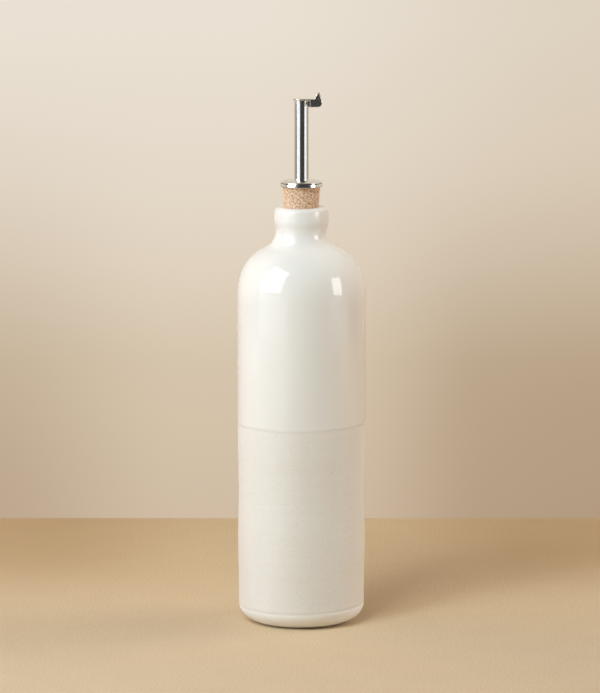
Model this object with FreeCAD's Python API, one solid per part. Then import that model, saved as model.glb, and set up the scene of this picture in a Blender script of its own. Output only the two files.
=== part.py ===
import FreeCAD, Part

import math
import os

# Stoneware oil bottle with a cork stopper and a steel pouring spout under a hinged flap.
#
# Frame: millimetres, +Z up, origin on the bottle's axis at the level it stands on.
# The flap's thumb tab points to +X, and its hinge pin lies along Y.
#
# Pieces: the bottle is one hollow piece of stoneware. The cork sits in its neck, the steel
# collar caps the cork, and the spout tube passes through both. A lug on the side of the
# tube carries the hinge pin, which is riveted in the two cheeks of the flap.

# ---- bottle, outside ----
BODY_RADIUS = 39.0          # glazed upper wall
WALL_HEIGHT = 198.8         # where the straight wall ends and the shoulder starts
BARE_INSET = 0.55           # how far the bare lower wall lies inside the glazed one, on average
SWELL = 0.24                # how far the thrown lower wall swells and narrows
SWELL_PITCH = 66.0          # height from one swelling to the next
SWELL_HEIGHT = 49.0         # height of the widest swelling
GLAZE_LINE = 118.4          # lower edge of the glaze that the bottle was dipped in
GLAZE_ROLL = 1.6            # height over which the glaze edge thickens
HEEL_WIDTH = 14.1           # rounding from the wall to the flat base, measured inwards
HEEL_HEIGHT = 11.3          # the same rounding, measured upwards
HEEL_GROOVE = 0.3           # depth, and half the width, of the line turned above the heel
SWEEP_RADIUS = 47.2         # first, slow curve of the shoulder
SWEEP_ANGLE = 17.8          # degrees the slow curve turns through
SHOULDER_RADIUS = 25.9
NECK_ROOT_RADIUS = 11.4     # hollow curve from the shoulder into the neck
NECK_WALL = 6.6             # thickness of the neck at the lower end of the bore
LIP_PROUD = 0.9             # how far the lip stands out from the neck
LIP_START = 0.8             # height above the neck root where the lip starts to swell out
LIP_SWELL = 6.2             # height over which it swells out
LIP_BAND = 7.7              # height of the lip above that
LIP_ROUND = 2.4             # outer edge of the lip
MOUTH_ROUND = 1.2           # inner edge of the lip

# ---- bottle, inside ----
WALL = 5.2
FLOOR = 7.0
INNER_HEEL = 10.0
INNER_ROOT_RADIUS = 14.0
BORE_RADIUS = 9.1           # lower end of the tapered bore that the cork sits in

# ---- cork ----
CORK_TOP_RADIUS = 11.5
CORK_SHOWING = 12.3         # height of cork between the lip and the collar
CORK_TIP_GAP = 1.0          # bore left below the cork
CORK_CHAMFER = 0.6

# ---- collar ----
COLLAR_WALL = 1.35          # thickness of the skirt round the top of the cork
COLLAR_HEIGHT = 3.0         # height of its rim
COLLAR_ROOF = 1.2           # thickness of its top at the rim
COLLAR_DOME = 1.25          # how far its top rises towards the tube
COLLAR_GROOVE = 0.4         # depth of the groove between its two beads
COLLAR_FLARE = 0.7          # fillet of braze round the tube

# ---- spout tube ----
TUBE_RADIUS = 4.35
TUBE_WALL = 0.8
TUBE_SHOWING = 49.1         # length above the collar's rim
TUBE_TAIL = 2.0             # length below the cork
TUBE_CHAMFER = 0.2

# ---- flap and hinge ----
SEAT_GAP = 0.08             # between the closed lid and the end of the tube
SHEET = 0.8                 # thickness of the flap's sheet steel
TAB_FOOT = 0.4              # distance beyond the hinge pin's axis to the foot of the thumb tab
TAB_ANGLE = 62.0            # degrees that the thumb tab stands up from the lid
TAB_LENGTH = 4.6
TAB_CORNER = 1.8            # rounding of the tab's two upper corners
PIVOT_REACH = 3.05          # from the tube's surface to the hinge pin's axis
PIVOT_DROP = 2.4            # from the lid's underside down to the hinge pin's axis
PIN_RADIUS = 0.75
PIN_CLEARANCE = 0.05        # running fit of the pin in the lug
CHEEK_START = 0.8           # gap between the tube's surface and the cheeks
CHEEK_DROP = 1.6            # depth of the cheeks below the pin's axis
CHEEK_REACH = 5.0           # of the cheeks beyond the pin's axis
CHEEK_CORNER = 2.6
CHEEK_CLEARANCE = 0.25      # between the cheeks and the tube's sides
RIM_FRONT = 0.45            # cheek left between the tab and the window
RIM_BACK = 0.6              # cheek left behind the window
WINDOW_SILL = 0.3           # height of the window's lower edge above the lid's underside
WINDOW_ROUND = 0.3
EDGE_ROUND = 0.25           # softened edges of the flap
KNUCKLE_RADIUS = 1.8
LUG_WIDTH = 5.0
LUG_CHAMFER = 0.3


def point(x, z):
    """A point of the XZ plane."""
    return FreeCAD.Vector(x, 0, z)


def line(start, end):
    """A straight edge."""
    return Part.LineSegment(start, end).toShape()


def arc(centre, radius, start_degrees, end_degrees):
    """An arc in the XZ plane, with its angles measured from +X towards +Z."""
    middle_degrees = (start_degrees + end_degrees) / 2
    ends = [polar(centre, radius, a) for a in (start_degrees, middle_degrees, end_degrees)]
    return Part.Arc(*ends).toShape()


def polar(centre, radius, degrees):
    """The point at a radius and an angle about a centre, in the XZ plane."""
    angle = math.radians(degrees)
    return point(centre.x + radius * math.cos(angle), centre.z + radius * math.sin(angle))


def ease(start, end):
    """An S-shaped edge that leaves its lower end and reaches its upper end upright."""
    middle = (start.z + end.z) / 2
    curve = Part.BezierCurve()
    curve.setPoles([start, point(start.x, middle), point(end.x, middle), end])
    return curve.toShape()


def revolved(edges):
    """The solid that a closed outline beside the Z axis sweeps round it."""
    face = Part.Face(Part.Wire(edges))
    return face.revolve(FreeCAD.Vector(0, 0, 0), FreeCAD.Vector(0, 0, 1), 360)


def slab(edges, half_width):
    """The solid of a closed outline in the XZ plane, as far to each side of it in Y."""
    face = Part.Face(Part.Wire(edges))
    face.translate(FreeCAD.Vector(0, -half_width, 0))
    return face.extrude(FreeCAD.Vector(0, 2 * half_width, 0))


def polygon(points):
    """The closed outline through points."""
    return [line(a, b) for a, b in zip(points, points[1:] + points[:1])]


def crossing(point_a, along_a, point_b, along_b):
    """The point where two lines of the XZ plane cross."""
    turn = along_a.x * along_b.z - along_a.z * along_b.x
    gap = point_b - point_a
    return point_a + along_a * ((gap.x * along_b.z - gap.z * along_b.x) / turn)


def wall_radius(height):
    """Radius of the bare lower wall: equal shallow arcs, by turns swelling and hollow."""
    half_pitch = SWELL_PITCH / 2
    turn = round((height - SWELL_HEIGHT) / half_pitch)
    off_middle = height - SWELL_HEIGHT - turn * half_pitch
    arc_radius = (half_pitch ** 2 / 4 + SWELL ** 2) / (2 * SWELL)
    bulge = math.sqrt(arc_radius ** 2 - off_middle ** 2) - (arc_radius - SWELL)
    return BODY_RADIUS - BARE_INSET + (bulge if turn % 2 == 0 else -bulge)


def lower_wall():
    """The bare wall's arcs, from the heel up to the glaze line."""
    half_pitch = SWELL_PITCH / 2
    heights = [HEEL_HEIGHT + 2 * HEEL_GROOVE]
    change = SWELL_HEIGHT - half_pitch / 2
    change -= half_pitch * math.floor((change - heights[0]) / half_pitch)
    while change < GLAZE_LINE:
        heights.append(change)
        change += half_pitch
    heights.append(GLAZE_LINE)
    edges = []
    for low, high in zip(heights, heights[1:]):
        ends = [point(wall_radius(z), z) for z in (low, (low + high) / 2, high)]
        edges.append(Part.Arc(*ends).toShape())
    return edges


# ---- levels and radii that follow from the sizes above ----
sweep_centre = point(BODY_RADIUS - SWEEP_RADIUS, WALL_HEIGHT)
shoulder_centre = polar(sweep_centre, SWEEP_RADIUS - SHOULDER_RADIUS, SWEEP_ANGLE)


def neck_root(shoulder_radius, root_radius, upright_radius):
    """Centre of the hollow curve that touches the shoulder's arc and the upright neck."""
    across = upright_radius + root_radius - shoulder_centre.x
    up = math.sqrt((shoulder_radius + root_radius) ** 2 - across ** 2)
    return point(upright_radius + root_radius, shoulder_centre.z + up)


neck_radius = BORE_RADIUS + NECK_WALL
lip_radius = neck_radius + LIP_PROUD
outer_root = neck_root(SHOULDER_RADIUS, NECK_ROOT_RADIUS, neck_radius)
inner_root = neck_root(SHOULDER_RADIUS - WALL, INNER_ROOT_RADIUS, BORE_RADIUS)
lip_foot = outer_root.z + LIP_START
lip_full = lip_foot + LIP_SWELL
lip_top = lip_full + LIP_BAND

cork_tip = inner_root.z + CORK_TIP_GAP
collar_foot = lip_top + CORK_SHOWING
collar_rim = collar_foot + COLLAR_HEIGHT
cork_top = collar_rim - COLLAR_ROOF
collar_radius = CORK_TOP_RADIUS + COLLAR_WALL
taper = math.atan2(CORK_TOP_RADIUS - BORE_RADIUS, collar_foot - cork_tip)

tube_tip = cork_tip - TUBE_TAIL
tube_top = collar_rim + TUBE_SHOWING

lid_under = tube_top + SEAT_GAP
lid_top = lid_under + SHEET
pivot = point(TUBE_RADIUS + PIVOT_REACH, lid_under - PIVOT_DROP)
cheek_inside = TUBE_RADIUS + CHEEK_CLEARANCE
lid_radius = cheek_inside + SHEET


def cork_radius(height):
    """Radius of the cork's taper, and of the bore that it sits in."""
    return CORK_TOP_RADIUS - (collar_foot - height) * math.tan(taper)


def shoulder_edges(inset, root, root_radius):
    """Sweep, shoulder and neck root, from the wall upwards, set in from the outside."""
    sweep = arc(sweep_centre, SWEEP_RADIUS - inset, 0, SWEEP_ANGLE)
    lean = math.degrees(math.atan2(root.z - shoulder_centre.z, root.x - shoulder_centre.x))
    shoulder = arc(shoulder_centre, SHOULDER_RADIUS - inset, SWEEP_ANGLE, lean)
    hollow = arc(root, root_radius, 180 + lean, 180)
    return [sweep, shoulder, hollow]


def bottle_outside():
    """Outline of the bottle from the middle of its base up to the top of its lip."""
    foot_radius = wall_radius(HEEL_HEIGHT)
    heel_centre = point(foot_radius - HEEL_WIDTH, HEEL_HEIGHT)
    heel_ends = [point(foot_radius, HEEL_HEIGHT), point(heel_centre.x, 0)]
    heel = Part.ArcOfEllipse(Part.Ellipse(*heel_ends, heel_centre), 0, math.pi / 2).toShape()
    base = line(point(0, 0), heel_ends[1])
    groove_height = HEEL_HEIGHT + HEEL_GROOVE
    groove_bottom = point(wall_radius(groove_height) - HEEL_GROOVE, groove_height)
    groove_top = point(wall_radius(HEEL_HEIGHT + 2 * HEEL_GROOVE), HEEL_HEIGHT + 2 * HEEL_GROOVE)
    groove = [line(heel_ends[0], groove_bottom), line(groove_bottom, groove_top)]

    glaze_full = point(BODY_RADIUS, GLAZE_LINE + GLAZE_ROLL)
    glaze_edge = ease(point(wall_radius(GLAZE_LINE), GLAZE_LINE), glaze_full)
    upper_wall = line(glaze_full, point(BODY_RADIUS, WALL_HEIGHT))

    neck = line(point(neck_radius, outer_root.z), point(neck_radius, lip_foot))
    lip_swell = ease(point(neck_radius, lip_foot), point(lip_radius, lip_full))
    lip_band = line(point(lip_radius, lip_full), point(lip_radius, lip_top - LIP_ROUND))
    lip_edge = arc(point(lip_radius - LIP_ROUND, lip_top - LIP_ROUND), LIP_ROUND, 0, 90)
    return ([base, heel] + groove + lower_wall() + [glaze_edge, upper_wall]
            + shoulder_edges(0, outer_root, NECK_ROOT_RADIUS)
            + [neck, lip_swell, lip_band, lip_edge])


def bottle_inside():
    """Outline of the bore and the hollow, with the top of the lip and the axis."""
    mouth_x = cork_radius(lip_top) + MOUTH_ROUND * (1 - math.sin(taper)) / math.cos(taper)
    mouth_centre = point(mouth_x, lip_top - MOUTH_ROUND)
    mouth_turn = 180 - math.degrees(taper)
    mouth_end = polar(mouth_centre, MOUTH_ROUND, mouth_turn)
    lip_flat = line(point(lip_radius - LIP_ROUND, lip_top), point(mouth_x, lip_top))
    mouth = arc(mouth_centre, MOUTH_ROUND, 90, mouth_turn)
    seat = line(mouth_end, point(BORE_RADIUS, cork_tip))
    throat = line(point(BORE_RADIUS, cork_tip), point(BORE_RADIUS, inner_root.z))

    inner_radius = BODY_RADIUS - WALL
    heel_centre = point(inner_radius - INNER_HEEL, FLOOR + INNER_HEEL)
    wall = line(point(inner_radius, WALL_HEIGHT), point(inner_radius, heel_centre.z))
    heel = arc(heel_centre, INNER_HEEL, 0, -90)
    floor = line(point(heel_centre.x, FLOOR), point(0, FLOOR))
    axis = line(point(0, FLOOR), point(0, 0))
    hollow = shoulder_edges(WALL, inner_root, INNER_ROOT_RADIUS)[::-1]
    return [lip_flat, mouth, seat, throat] + hollow + [wall, heel, floor, axis]


def bottle():
    """One hollow piece: thin-walled body, sloping shoulder, waisted neck and rolled lip."""
    return revolved(bottle_outside() + bottle_inside())


def cork():
    """Tapered stopper, drilled for the tube, with its top inside the collar."""
    corners = [
        point(TUBE_RADIUS, cork_tip),
        point(BORE_RADIUS - CORK_CHAMFER, cork_tip),
        point(cork_radius(cork_tip + CORK_CHAMFER), cork_tip + CORK_CHAMFER),
        point(CORK_TOP_RADIUS, collar_foot),
        point(CORK_TOP_RADIUS, cork_top),
        point(TUBE_RADIUS, cork_top),
    ]
    return revolved(polygon(corners))


def collar():
    """Steel cap over the cork: two beads round its rim and a low dome up to the tube."""
    bead = COLLAR_HEIGHT / 4
    waist = collar_radius - COLLAR_GROOVE
    foot = point(waist, collar_foot)
    groove = point(waist, collar_foot + 2 * bead)
    shoulder = point(waist, collar_rim)
    lower_bead = Part.Arc(foot, point(collar_radius, collar_foot + bead), groove).toShape()
    upper_bead = Part.Arc(groove, point(collar_radius, collar_rim - bead), shoulder).toShape()

    flare_foot = point(TUBE_RADIUS + COLLAR_FLARE, collar_rim + COLLAR_DOME)
    halfway = point((shoulder.x + flare_foot.x) / 2, collar_rim + COLLAR_DOME * 0.62)
    dome = Part.Arc(shoulder, halfway, flare_foot).toShape()
    flare_top = point(TUBE_RADIUS, flare_foot.z + COLLAR_FLARE)
    flare = arc(point(flare_foot.x, flare_top.z), COLLAR_FLARE, -90, -180)
    inside = [
        flare_top,
        point(TUBE_RADIUS, cork_top),
        point(CORK_TOP_RADIUS, cork_top),
        point(CORK_TOP_RADIUS, collar_foot),
        foot,
    ]
    return revolved([lower_bead, upper_bead, dome, flare] + polygon(inside)[:-1])


def spout_tube():
    """Straight steel tube, open at both ends, with its edges broken."""
    bore = TUBE_RADIUS - TUBE_WALL
    corners = []
    for end, inwards in ((tube_tip, 1), (tube_top, -1)):
        near = end + inwards * TUBE_CHAMFER
        edge = [
            point(bore, near),
            point(bore + TUBE_CHAMFER, end),
            point(TUBE_RADIUS - TUBE_CHAMFER, end),
            point(TUBE_RADIUS, near),
        ]
        corners += edge[::inwards]
    return revolved(polygon(corners))


def pin_cylinder(radius, half_length):
    """A cylinder about the hinge axis."""
    start = FreeCAD.Vector(pivot.x, -half_length, pivot.z)
    return Part.makeCylinder(radius, 2 * half_length, start, FreeCAD.Vector(0, 1, 0))


def hinge_lug():
    """Bracket brazed to the side of the tube, with a round knuckle bored for the pin."""
    low = pivot.z - KNUCKLE_RADIUS
    high = pivot.z + KNUCKLE_RADIUS
    profile = [
        line(point(0, low), point(pivot.x, low)),
        arc(pivot, KNUCKLE_RADIUS, -90, 90),
        line(point(pivot.x, high), point(0, high)),
        line(point(0, high), point(0, low)),
    ]
    block = slab(profile, LUG_WIDTH / 2)
    outer_edges = [e for e in block.Edges if abs(e.CenterOfMass.y) > LUG_WIDTH / 2 - 0.01
                   and e.CenterOfMass.x > 0.01]
    block = block.makeChamfer(LUG_CHAMFER, outer_edges)
    tube = Part.makeCylinder(TUBE_RADIUS, 2 * tube_top)
    return block.cut(tube).cut(pin_cylinder(PIN_RADIUS + PIN_CLEARANCE, LUG_WIDTH))


def flap():
    """Lid, thumb tab and two cheeks, pressed from one sheet of steel."""
    angle = math.radians(TAB_ANGLE)
    along = point(math.cos(angle), math.sin(angle))
    across = point(math.sin(angle), -math.cos(angle))

    bend = point(pivot.x + TAB_FOOT, lid_top)
    tab_front = bend + along * TAB_LENGTH
    tab_back = tab_front + across * SHEET

    corner = point(pivot.x + CHEEK_REACH - CHEEK_CORNER, pivot.z - CHEEK_DROP + CHEEK_CORNER)
    reach = tab_back - corner
    touch = math.degrees(math.atan2(reach.z, reach.x) - math.acos(CHEEK_CORNER / reach.Length))
    back = polar(corner, CHEEK_CORNER, touch)
    cheek_front = TUBE_RADIUS + CHEEK_START
    cheek_low = corner.z - CHEEK_CORNER

    outline = [
        line(point(-lid_radius, lid_under), point(-lid_radius, lid_top)),
        line(point(-lid_radius, lid_top), bend),
        line(bend, tab_front),
        line(tab_front, tab_back),
        line(tab_back, back),
        arc(corner, CHEEK_CORNER, touch, -90),
        line(point(corner.x, cheek_low), point(cheek_front, cheek_low)),
        line(point(cheek_front, cheek_low), point(cheek_front, lid_under)),
        line(point(cheek_front, lid_under), point(-lid_radius, lid_under)),
    ]
    solid = slab(outline, lid_radius)
    solid = solid.common(rounded_blank(tab_front.z))
    solid = solid.makeFillet(EDGE_ROUND, [e for e in solid.Edges if outer_edge(e)])

    under_bend = bend + across * SHEET
    heel = crossing(under_bend, along, point(0, lid_under), point(1, 0))
    past_tab = heel + along * (2 * TAB_LENGTH)
    below = cheek_low - SHEET
    hollow = [
        point(0, lid_under),
        heel,
        past_tab,
        point(past_tab.x + CHEEK_REACH, past_tab.z),
        point(past_tab.x + CHEEK_REACH, below),
        point(0, below),
    ]
    solid = solid.cut(slab(polygon(hollow), cheek_inside))

    back_along = back - tab_back
    back_across = point(back_along.z, -back_along.x) * (1 / back_along.Length)
    front_rim = under_bend + across * RIM_FRONT
    back_rim = back + back_across * RIM_BACK
    sill = point(0, lid_under + WINDOW_SILL)
    window = [
        crossing(front_rim, along, sill, point(1, 0)),
        crossing(back_rim, back_along, sill, point(1, 0)),
        crossing(front_rim, along, back_rim, back_along),
    ]
    opening = slab(polygon(window), 2 * lid_radius)
    opening = opening.makeFillet(WINDOW_ROUND, [e for e in opening.Edges if upright_to_side(e)])
    solid = solid.cut(opening)

    return solid.cut(pin_cylinder(PIN_RADIUS, 2 * lid_radius))


def upright_to_side(edge):
    """Whether an edge runs along Y."""
    return abs(edge.Vertexes[0].Y - edge.Vertexes[-1].Y) > 0.99 * edge.Length


def rounded_blank(top):
    """Block as wide as the flap, with a round nose over the tube and rounded upper corners."""
    width = 2 * lid_radius
    corner = FreeCAD.Vector(-lid_radius, -lid_radius, 0)
    block = Part.makeBox(2 * width, width, top, corner)
    upper = [e for e in block.Edges if e.CenterOfMass.z == top and abs(e.CenterOfMass.y) == lid_radius]
    block = block.makeFillet(TAB_CORNER, upper)
    nose = Part.makeBox(lid_radius, width, top, corner)
    return block.cut(nose.cut(Part.makeCylinder(lid_radius, top)))


def outer_edge(edge):
    """Whether an edge bounds the flap's sides or its round nose."""
    return all(abs(math.hypot(min(v.X, 0), v.Y) - lid_radius) < 0.01 for v in edge.Vertexes)


def hinge_pin():
    """Pin with both ends flush in the cheeks."""
    return pin_cylinder(PIN_RADIUS, lid_radius)


PIECES = {
    "bottle": bottle,
    "cork": cork,
    "collar": collar,
    "spout_tube": spout_tube,
    "hinge_lug": hinge_lug,
    "flap": flap,
    "hinge_pin": hinge_pin,
}

os.makedirs("parts", exist_ok=True)
for name, build in PIECES.items():
    shape = build()
    solids = shape.Solids
    if len(solids) != 1 or not shape.isValid():
        raise ValueError(f"{name} is not one valid solid")
    solids[0].exportStep(f"parts/{name}.step")
    box = solids[0].BoundBox
    print(f"{name}: {solids[0].Volume:.1f} mm3, z {box.ZMin:.2f} to {box.ZMax:.2f}, "
          f"x {box.XMin:.2f} to {box.XMax:.2f}, y {box.YMin:.2f} to {box.YMax:.2f}")
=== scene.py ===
import logging
import math
from dataclasses import dataclass, field
from enum import Enum

import bpy
import numpy as np
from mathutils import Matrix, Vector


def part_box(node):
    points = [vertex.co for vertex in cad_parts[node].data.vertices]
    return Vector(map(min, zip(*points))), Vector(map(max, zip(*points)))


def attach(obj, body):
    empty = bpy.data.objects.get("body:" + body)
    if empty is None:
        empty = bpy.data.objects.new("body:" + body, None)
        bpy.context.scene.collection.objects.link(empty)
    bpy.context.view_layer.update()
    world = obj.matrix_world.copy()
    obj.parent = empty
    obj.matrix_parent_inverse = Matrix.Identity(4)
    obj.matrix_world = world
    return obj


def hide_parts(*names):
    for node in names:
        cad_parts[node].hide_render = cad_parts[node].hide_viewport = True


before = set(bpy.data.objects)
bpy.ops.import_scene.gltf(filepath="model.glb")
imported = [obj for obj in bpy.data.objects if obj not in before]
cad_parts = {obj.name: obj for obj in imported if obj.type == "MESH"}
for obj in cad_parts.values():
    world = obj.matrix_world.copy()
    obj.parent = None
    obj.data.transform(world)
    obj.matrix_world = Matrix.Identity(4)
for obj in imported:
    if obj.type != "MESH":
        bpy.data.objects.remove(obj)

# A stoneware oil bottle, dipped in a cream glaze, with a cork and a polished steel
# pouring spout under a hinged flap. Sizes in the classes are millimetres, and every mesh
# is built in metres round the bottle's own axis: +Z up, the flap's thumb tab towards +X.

MM = 0.001
MOST = (0.3, 0.7)  # most of a noise's values lie between these
Colour = tuple[float, float, float]
Point = tuple[float, float]

log = logging.getLogger("oil_bottle")


# ---------------------------------------------------------------------------
# Profiles: each is an array of (radius, height) rows, in millimetres
# ---------------------------------------------------------------------------

def straight(start: Point, end: Point, count: int) -> np.ndarray:
    """Equal steps along the straight line from one point to another.

    Args:
        start: first (radius, height).
        end: last (radius, height).
        count: number of rows.

    Returns:
        Array of shape (count, 2).
    """
    t = np.linspace(0.0, 1.0, count)[:, None]
    return np.array(start) * (1 - t) + np.array(end) * t


def arc(centre: Point, radius: float, start: float, end: float, count: int) -> np.ndarray:
    """Centre plus radius times (cosine, sine) of an evenly turning angle.

    Args:
        centre: centre of the circle.
        radius: radius of the circle.
        start: first angle in degrees, from outwards towards up.
        end: last angle in degrees.
        count: number of rows.

    Returns:
        Array of shape (count, 2).
    """
    turn = np.radians(np.linspace(start, end, count))
    return np.array(centre) + radius * np.stack([np.cos(turn), np.sin(turn)], axis=1)


def eased(start: Point, end: Point, count: int) -> np.ndarray:
    """Cubic Bezier curve that is upright at both ends, its two handles at half height.

    Args:
        start: first (radius, height).
        end: last (radius, height).
        count: number of rows.

    Returns:
        Array of shape (count, 2).
    """
    t = np.linspace(0.0, 1.0, count)[:, None]
    middle = (start[1] + end[1]) / 2
    handles = [start, (start[0], middle), (end[0], middle), end]
    weights = [(1 - t) ** 3, 3 * t * (1 - t) ** 2, 3 * t ** 2 * (1 - t), t ** 3]
    return sum(weight * np.array(handle) for weight, handle in zip(weights, handles))


def softened(corners: list[Point], radii: list[float], count: int = 7) -> np.ndarray:
    """Closed outline through corners, each corner a quadratic Bezier curve.

    The curve leaves one side, and joins the next, a given length from the corner, which is
    its middle handle.

    Args:
        corners: the outline's corners in order.
        radii: length cut from both sides at each corner.
        count: rows spent on each corner.

    Returns:
        Array of shape (len(corners) * count, 2).
    """
    here = np.array(corners)
    back = np.roll(here, 1, axis=0) - here
    ahead = np.roll(here, -1, axis=0) - here
    cut = np.array(radii)[:, None]
    entry = here + back / np.linalg.norm(back, axis=1, keepdims=True) * cut
    leave = here + ahead / np.linalg.norm(ahead, axis=1, keepdims=True) * cut
    t = np.linspace(0.0, 1.0, count)[None, :, None]
    curve = entry[:, None] * (1 - t) ** 2 + here[:, None] * 2 * t * (1 - t) + leave[:, None] * t ** 2
    return curve.reshape(-1, 2)


def chained(*runs: np.ndarray) -> np.ndarray:
    """One profile from runs that meet end to end, each shared point kept once."""
    return np.concatenate([runs[0]] + [run[1:] for run in runs[1:]])


def filled(profile: np.ndarray, step: float, closed: bool = False) -> np.ndarray:
    """Adds rows to a profile so that none of its straight steps is longer than a limit.

    Args:
        profile: array of (radius, height) rows.
        step: longest step allowed.
        closed: whether the last row joins the first.

    Returns:
        The profile with the added rows.
    """
    ends = np.concatenate([profile, profile[:1]]) if closed else profile
    lengths = np.linalg.norm(np.diff(ends, axis=0), axis=1)
    along = np.concatenate([[0.0], np.cumsum(lengths)])
    pieces = np.maximum(np.ceil(lengths / step).astype(int), 1)
    marks = np.repeat(along[:-1], pieces)
    share = np.concatenate([np.arange(n) / n for n in pieces])
    marks = marks + share * np.repeat(lengths, pieces)
    if not closed:
        marks = np.append(marks, along[-1])
    return np.stack([np.interp(marks, along, ends[:, k]) for k in (0, 1)], axis=1)


# ---------------------------------------------------------------------------
# Surfaces: grids of points made into meshes
# ---------------------------------------------------------------------------

def turned(profile: np.ndarray, columns: int) -> np.ndarray:
    """Carries a profile round the axis.

    Row i, column j is (radius_i cos a_j, radius_i sin a_j, height_i), with a_j the j-th of
    equal angles round the circle.

    Args:
        profile: array of (radius, height) rows.
        columns: number of angles.

    Returns:
        Array of shape (rows, columns, 3), in millimetres.
    """
    angle = np.arange(columns) * (2 * np.pi / columns)
    radius, height = profile[:, :1], profile[:, 1:]
    return np.stack([radius * np.cos(angle), radius * np.sin(angle),
                     height + 0 * angle], axis=-1)


def grid_faces(rows: int, columns: int, ring: bool) -> np.ndarray:
    """Quads between neighbouring grid points, the columns joined into a circle.

    Args:
        rows: rows of the grid.
        columns: columns of the grid.
        ring: whether the last row is joined to the first.

    Returns:
        Array of shape (faces, 4) of point numbers.
    """
    low = np.arange(rows if ring else rows - 1)[:, None]
    high = (low + 1) % rows
    left = np.arange(columns)[None, :]
    right = (left + 1) % columns
    corners = [low * columns + left, low * columns + right,
               high * columns + right, high * columns + left]
    return np.stack(corners, axis=-1).reshape(-1, 4)


def turned_object(name: str, grid: np.ndarray, ring: bool) -> bpy.types.Object:
    """Makes an object from a grid of points round the axis.

    A ring grid closes on itself. Any other grid is closed by a point on the axis at each
    end, at the height of that end's row.

    Args:
        name: the object's name.
        grid: points of shape (rows, columns, 3), in millimetres, upwards on the outside.
        ring: whether the profile is a closed loop.

    Returns:
        The object, linked to the scene, with its smooth mesh in metres.
    """
    rows, columns, _ = grid.shape
    points = grid.reshape(-1, 3)
    faces = grid_faces(rows, columns, ring).tolist()
    if not ring:
        left = np.arange(columns)
        right = (left + 1) % columns
        top = (rows - 1) * columns
        poles = [[0, 0, grid[0, :, 2].mean()], [0, 0, grid[-1, :, 2].mean()]]
        bottom_pole = np.full(columns, len(points))
        points = np.concatenate([points, poles])
        faces += np.stack([bottom_pole, right, left], axis=1).tolist()
        faces += np.stack([bottom_pole + 1, top + left, top + right], axis=1).tolist()
    mesh = bpy.data.meshes.new(name)
    mesh.from_pydata((points * MM).tolist(), [], faces)
    mesh.polygons.foreach_set("use_smooth", np.ones(len(mesh.polygons), dtype=bool))
    mesh.update()
    piece = bpy.data.objects.new(name, mesh)
    bpy.context.scene.collection.objects.link(piece)
    return piece


def point_values(piece: bpy.types.Object, name: str, values: np.ndarray) -> None:
    """Stores one number for each point of a piece, for its material to read.

    Args:
        piece: the object.
        name: the attribute's name.
        values: one number for each grid point; the poles take the mean of the end rows.
    """
    spare = len(piece.data.vertices) - values.size
    ends = [values[0].mean(), values[-1].mean()][:spare]
    layer = piece.data.attributes.new(name, "FLOAT", "POINT")
    layer.data.foreach_set("value", np.concatenate([values.ravel(), ends]).astype(np.float32))


def eased_share(t: np.ndarray) -> np.ndarray:
    """The weight t*t*(3 - 2t), which starts and ends level."""
    return t * t * (3 - 2 * t)


def polar(grid: np.ndarray) -> tuple[np.ndarray, np.ndarray, np.ndarray]:
    """Angle, distance from the axis, and height of every point of a grid.

    Args:
        grid: points of shape (rows, columns, 3).

    Returns:
        Three arrays of shape (rows, columns), the angle in radians.
    """
    x, y, height = np.moveaxis(grid, -1, 0)
    return np.arctan2(y, x), np.hypot(x, y), height


def cartesian(angle: np.ndarray, radius: np.ndarray, height: np.ndarray) -> np.ndarray:
    """Points (radius cos angle, radius sin angle, height), the undoing of polar."""
    return np.stack([radius * np.cos(angle), radius * np.sin(angle), height], axis=-1)


def lattice_noise(x: np.ndarray, y: np.ndarray, wrap: int, seed: int) -> np.ndarray:
    """Smooth noise between -1 and 1 that repeats round the x axis.

    Each whole-number lattice point gets a random number, and the four round a place are
    blended with the eased share of the way along each axis. Rows repeat after 1024.

    Args:
        x: first coordinate, in lattice steps.
        y: second coordinate, in lattice steps.
        wrap: number of steps after which x repeats.
        seed: seed of the random numbers.

    Returns:
        Array of the same shape as x.
    """
    table = np.random.default_rng(seed).uniform(-1, 1, (wrap, 1024))
    x_low, y_low = np.floor(x).astype(int), np.floor(y).astype(int)
    u, v = x - x_low, y - y_low
    u, v = eased_share(u), eased_share(v)
    left, right = x_low % wrap, (x_low + 1) % wrap
    low, high = y_low % 1024, (y_low + 1) % 1024
    lower = table[left, low] * (1 - u) + table[right, low] * u
    upper = table[left, high] * (1 - u) + table[right, high] * u
    return lower * (1 - v) + upper * v


def cell_noise(x: np.ndarray, y: np.ndarray, wrap: int, seed: int) -> tuple[np.ndarray, np.ndarray]:
    """Granules: distance across the nearest cell border, and a random number of the cell.

    Each lattice square holds one seed point at a random place. The first result is the
    distance to the second nearest seed minus that to the nearest. Rows repeat after 256.

    Args:
        x: first coordinate, in lattice steps.
        y: second coordinate, in lattice steps.
        wrap: number of steps after which x repeats.
        seed: seed of the random numbers.

    Returns:
        Border distance and cell number, both of the same shape as x.
    """
    source = np.random.default_rng(seed)
    place = source.uniform(0.05, 0.95, (wrap, 256, 2))
    number = source.uniform(0, 1, (wrap, 256))
    x_low, y_low = np.floor(x).astype(int), np.floor(y).astype(int)
    first = np.full(x.shape, np.inf)
    second = np.full(x.shape, np.inf)
    owner = np.zeros(x.shape)
    for dx, dy in [(a, b) for a in (-1, 0, 1) for b in (-1, 0, 1)]:
        column, row = (x_low + dx) % wrap, (y_low + dy) % 256
        seed_x = x_low + dx + place[column, row, 0]
        seed_y = y_low + dy + place[column, row, 1]
        distance = np.hypot(x - seed_x, y - seed_y)
        nearer = distance < first
        second = np.where(nearer, first, np.minimum(second, distance))
        owner = np.where(nearer, number[column, row], owner)
        first = np.where(nearer, distance, first)
    return second - first, owner


# ---------------------------------------------------------------------------
# Materials
# ---------------------------------------------------------------------------

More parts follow.
